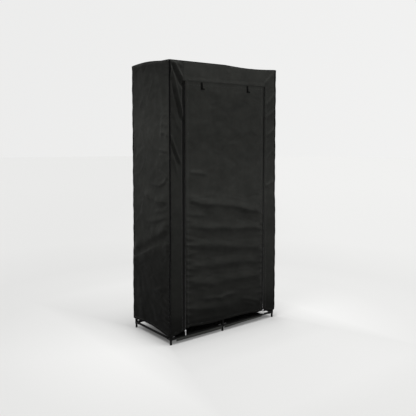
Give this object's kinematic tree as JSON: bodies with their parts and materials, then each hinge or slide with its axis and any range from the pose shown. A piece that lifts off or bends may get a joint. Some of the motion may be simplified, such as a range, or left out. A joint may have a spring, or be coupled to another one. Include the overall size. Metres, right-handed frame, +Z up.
{
  "type": "wardrobe",
  "caption": "Free-standing fabric wardrobe: dark cloth cover with a zipped roll-up front door over a light tube frame with shelves, a hanging rail and short feet.",
  "frame": {"origin": "middle of the footprint at the floor", "axes": "+Z up, +Y towards the back, -Y the front with the roll-up door, +X to the viewer's right"},
  "size_m": [0.829, 0.4063, 1.6085],
  "materials": {
    "cover_cloth": "matt non-woven cloth with creases",
    "shelf_cloth": "matt non-woven cloth",
    "frame_tube": "satin black paint",
    "connector_plastic": "moulded, matt",
    "zip_metal": "bright plated"
  },
  "bodies": {
    "wardrobe": {"foot_connector_front_left": "connector_plastic", "top_connector_front_left": "connector_plastic", "post_front_left": "frame_tube", "foot_connector_front_middle": "connector_plastic", "top_connector_front_middle": "connector_plastic", "post_front_middle": "frame_tube", "foot_connector_front_right": "connector_plastic", "top_connector_front_right": "connector_plastic", "post_front_right": "frame_tube", "bottom_rail_front_left": "frame_tube", "top_rail_front_left": "frame_tube", "bottom_rail_front_right": "frame_tube", "top_rail_front_right": "frame_tube", "foot_connector_back_left": "connector_plastic", "top_connector_back_left": "connector_plastic", "post_back_left": "frame_tube", "foot_connector_back_middle": "connector_plastic", "top_connector_back_middle": "connector_plastic", "post_back_middle": "frame_tube", "foot_connector_back_right": "connector_plastic", "top_connector_back_right": "connector_plastic", "post_back_right": "frame_tube", "bottom_rail_back_left": "frame_tube", "top_rail_back_left": "frame_tube", "bottom_rail_back_right": "frame_tube", "top_rail_back_right": "frame_tube", "top_rail_left": "frame_tube", "bottom_rail_left": "frame_tube", "top_rail_middle": "frame_tube", "top_rail_right": "frame_tube", "bottom_rail_right": "frame_tube", "hanging_rail": "frame_tube", "shelf_lower_front_rail": "frame_tube", "shelf_lower_back_rail": "frame_tube", "shelf_lower_cloth": "shelf_cloth", "shelf_upper_front_rail": "frame_tube", "shelf_upper_back_rail": "frame_tube", "shelf_upper_cloth": "shelf_cloth", "floor_cloth": "shelf_cloth", "cover_top": "cover_cloth", "cover_back": "cover_cloth", "cover_left_side": "cover_cloth", "cover_right_side": "cover_cloth", "cover_front_left": "cover_cloth", "cover_front_right": "cover_cloth", "cover_header": "cover_cloth"},
    "door_strip_1": {"door_strip_1": "cover_cloth"},
    "door_strip_2": {"door_strip_2": "cover_cloth"},
    "door_strip_3": {"door_strip_3": "cover_cloth"},
    "door_strip_4": {"door_strip_4": "cover_cloth"},
    "door_strip_5": {"door_strip_5": "cover_cloth"},
    "door_strip_6": {"door_strip_6": "cover_cloth"},
    "door_strip_7": {"door_strip_7": "cover_cloth"},
    "door_strip_8": {"door_strip_8": "cover_cloth"},
    "door_strip_9": {"door_strip_9": "cover_cloth"},
    "door_strip_10": {"door_strip_10": "cover_cloth"},
    "zip_slider_left": {"zip_slider_left": "zip_metal"},
    "zip_pull_left": {"zip_pull_left": "zip_metal"},
    "zip_slider_right": {"zip_slider_right": "zip_metal"},
    "zip_pull_right": {"zip_pull_right": "zip_metal"}
  },
  "joints": [
    {"name": "door_roll", "type": "hinge", "parent": "wardrobe", "child": "door_strip_1", "pos_m": [0, -0.198, 1.325], "axis": [-1, 0, 0], "range_deg": [0, 90]},
    {"name": "door_roll_2", "type": "hinge", "parent": "door_strip_1", "child": "door_strip_2", "pos_m": [0, -0.198, 1.13434], "axis": [-1, 0, 0], "range_deg": [0, 90]},
    {"name": "door_roll_3", "type": "hinge", "parent": "door_strip_2", "child": "door_strip_3", "pos_m": [0, -0.198, 0.96721], "axis": [-1, 0, 0], "range_deg": [0, 90]},
    {"name": "door_roll_4", "type": "hinge", "parent": "door_strip_3", "child": "door_strip_4", "pos_m": [0, -0.198, 0.81512], "axis": [-1, 0, 0], "range_deg": [0, 90]},
    {"name": "door_roll_5", "type": "hinge", "parent": "door_strip_4", "child": "door_strip_5", "pos_m": [0, -0.198, 0.67672], "axis": [-1, 0, 0], "range_deg": [0, 90]},
    {"name": "door_roll_6", "type": "hinge", "parent": "door_strip_5", "child": "door_strip_6", "pos_m": [0, -0.198, 0.55077], "axis": [-1, 0, 0], "range_deg": [0, 90]},
    {"name": "door_roll_7", "type": "hinge", "parent": "door_strip_6", "child": "door_strip_7", "pos_m": [0, -0.198, 0.43616], "axis": [-1, 0, 0], "range_deg": [0, 90]},
    {"name": "door_roll_8", "type": "hinge", "parent": "door_strip_7", "child": "door_strip_8", "pos_m": [0, -0.198, 0.33187], "axis": [-1, 0, 0], "range_deg": [0, 90]},
    {"name": "door_roll_9", "type": "hinge", "parent": "door_strip_8", "child": "door_strip_9", "pos_m": [0, -0.198, 0.23696], "axis": [-1, 0, 0], "range_deg": [0, 90]},
    {"name": "door_roll_10", "type": "hinge", "parent": "door_strip_9", "child": "door_strip_10", "pos_m": [0, -0.198, 0.15059], "axis": [-1, 0, 0], "range_deg": [0, 90]},
    {"name": "zip_left", "type": "slide", "parent": "wardrobe", "child": "zip_slider_left", "axis": [0, 0, 1], "range_m": [0, 1.415]},
    {"name": "zip_pull_left_swing", "type": "hinge", "parent": "zip_slider_left", "child": "zip_pull_left", "pos_m": [-0.307, -0.2028, 0.0655], "axis": [-1, 0, 0], "range_deg": [0, 170]},
    {"name": "zip_right", "type": "slide", "parent": "wardrobe", "child": "zip_slider_right", "axis": [0, 0, 1], "range_m": [0, 1.415]},
    {"name": "zip_pull_right_swing", "type": "hinge", "parent": "zip_slider_right", "child": "zip_pull_right", "pos_m": [0.307, -0.2028, 0.0655], "axis": [-1, 0, 0], "range_deg": [0, 170]}
  ],
  "couplings": [
    {"joint": "door_roll_2", "follows": "door_roll", "ratio": 1},
    {"joint": "door_roll_3", "follows": "door_roll", "ratio": 1},
    {"joint": "door_roll_4", "follows": "door_roll", "ratio": 1},
    {"joint": "door_roll_5", "follows": "door_roll", "ratio": 1},
    {"joint": "door_roll_6", "follows": "door_roll", "ratio": 1},
    {"joint": "door_roll_7", "follows": "door_roll", "ratio": 1},
    {"joint": "door_roll_8", "follows": "door_roll", "ratio": 1},
    {"joint": "door_roll_9", "follows": "door_roll", "ratio": 1},
    {"joint": "door_roll_10", "follows": "door_roll", "ratio": 1}
  ]
}
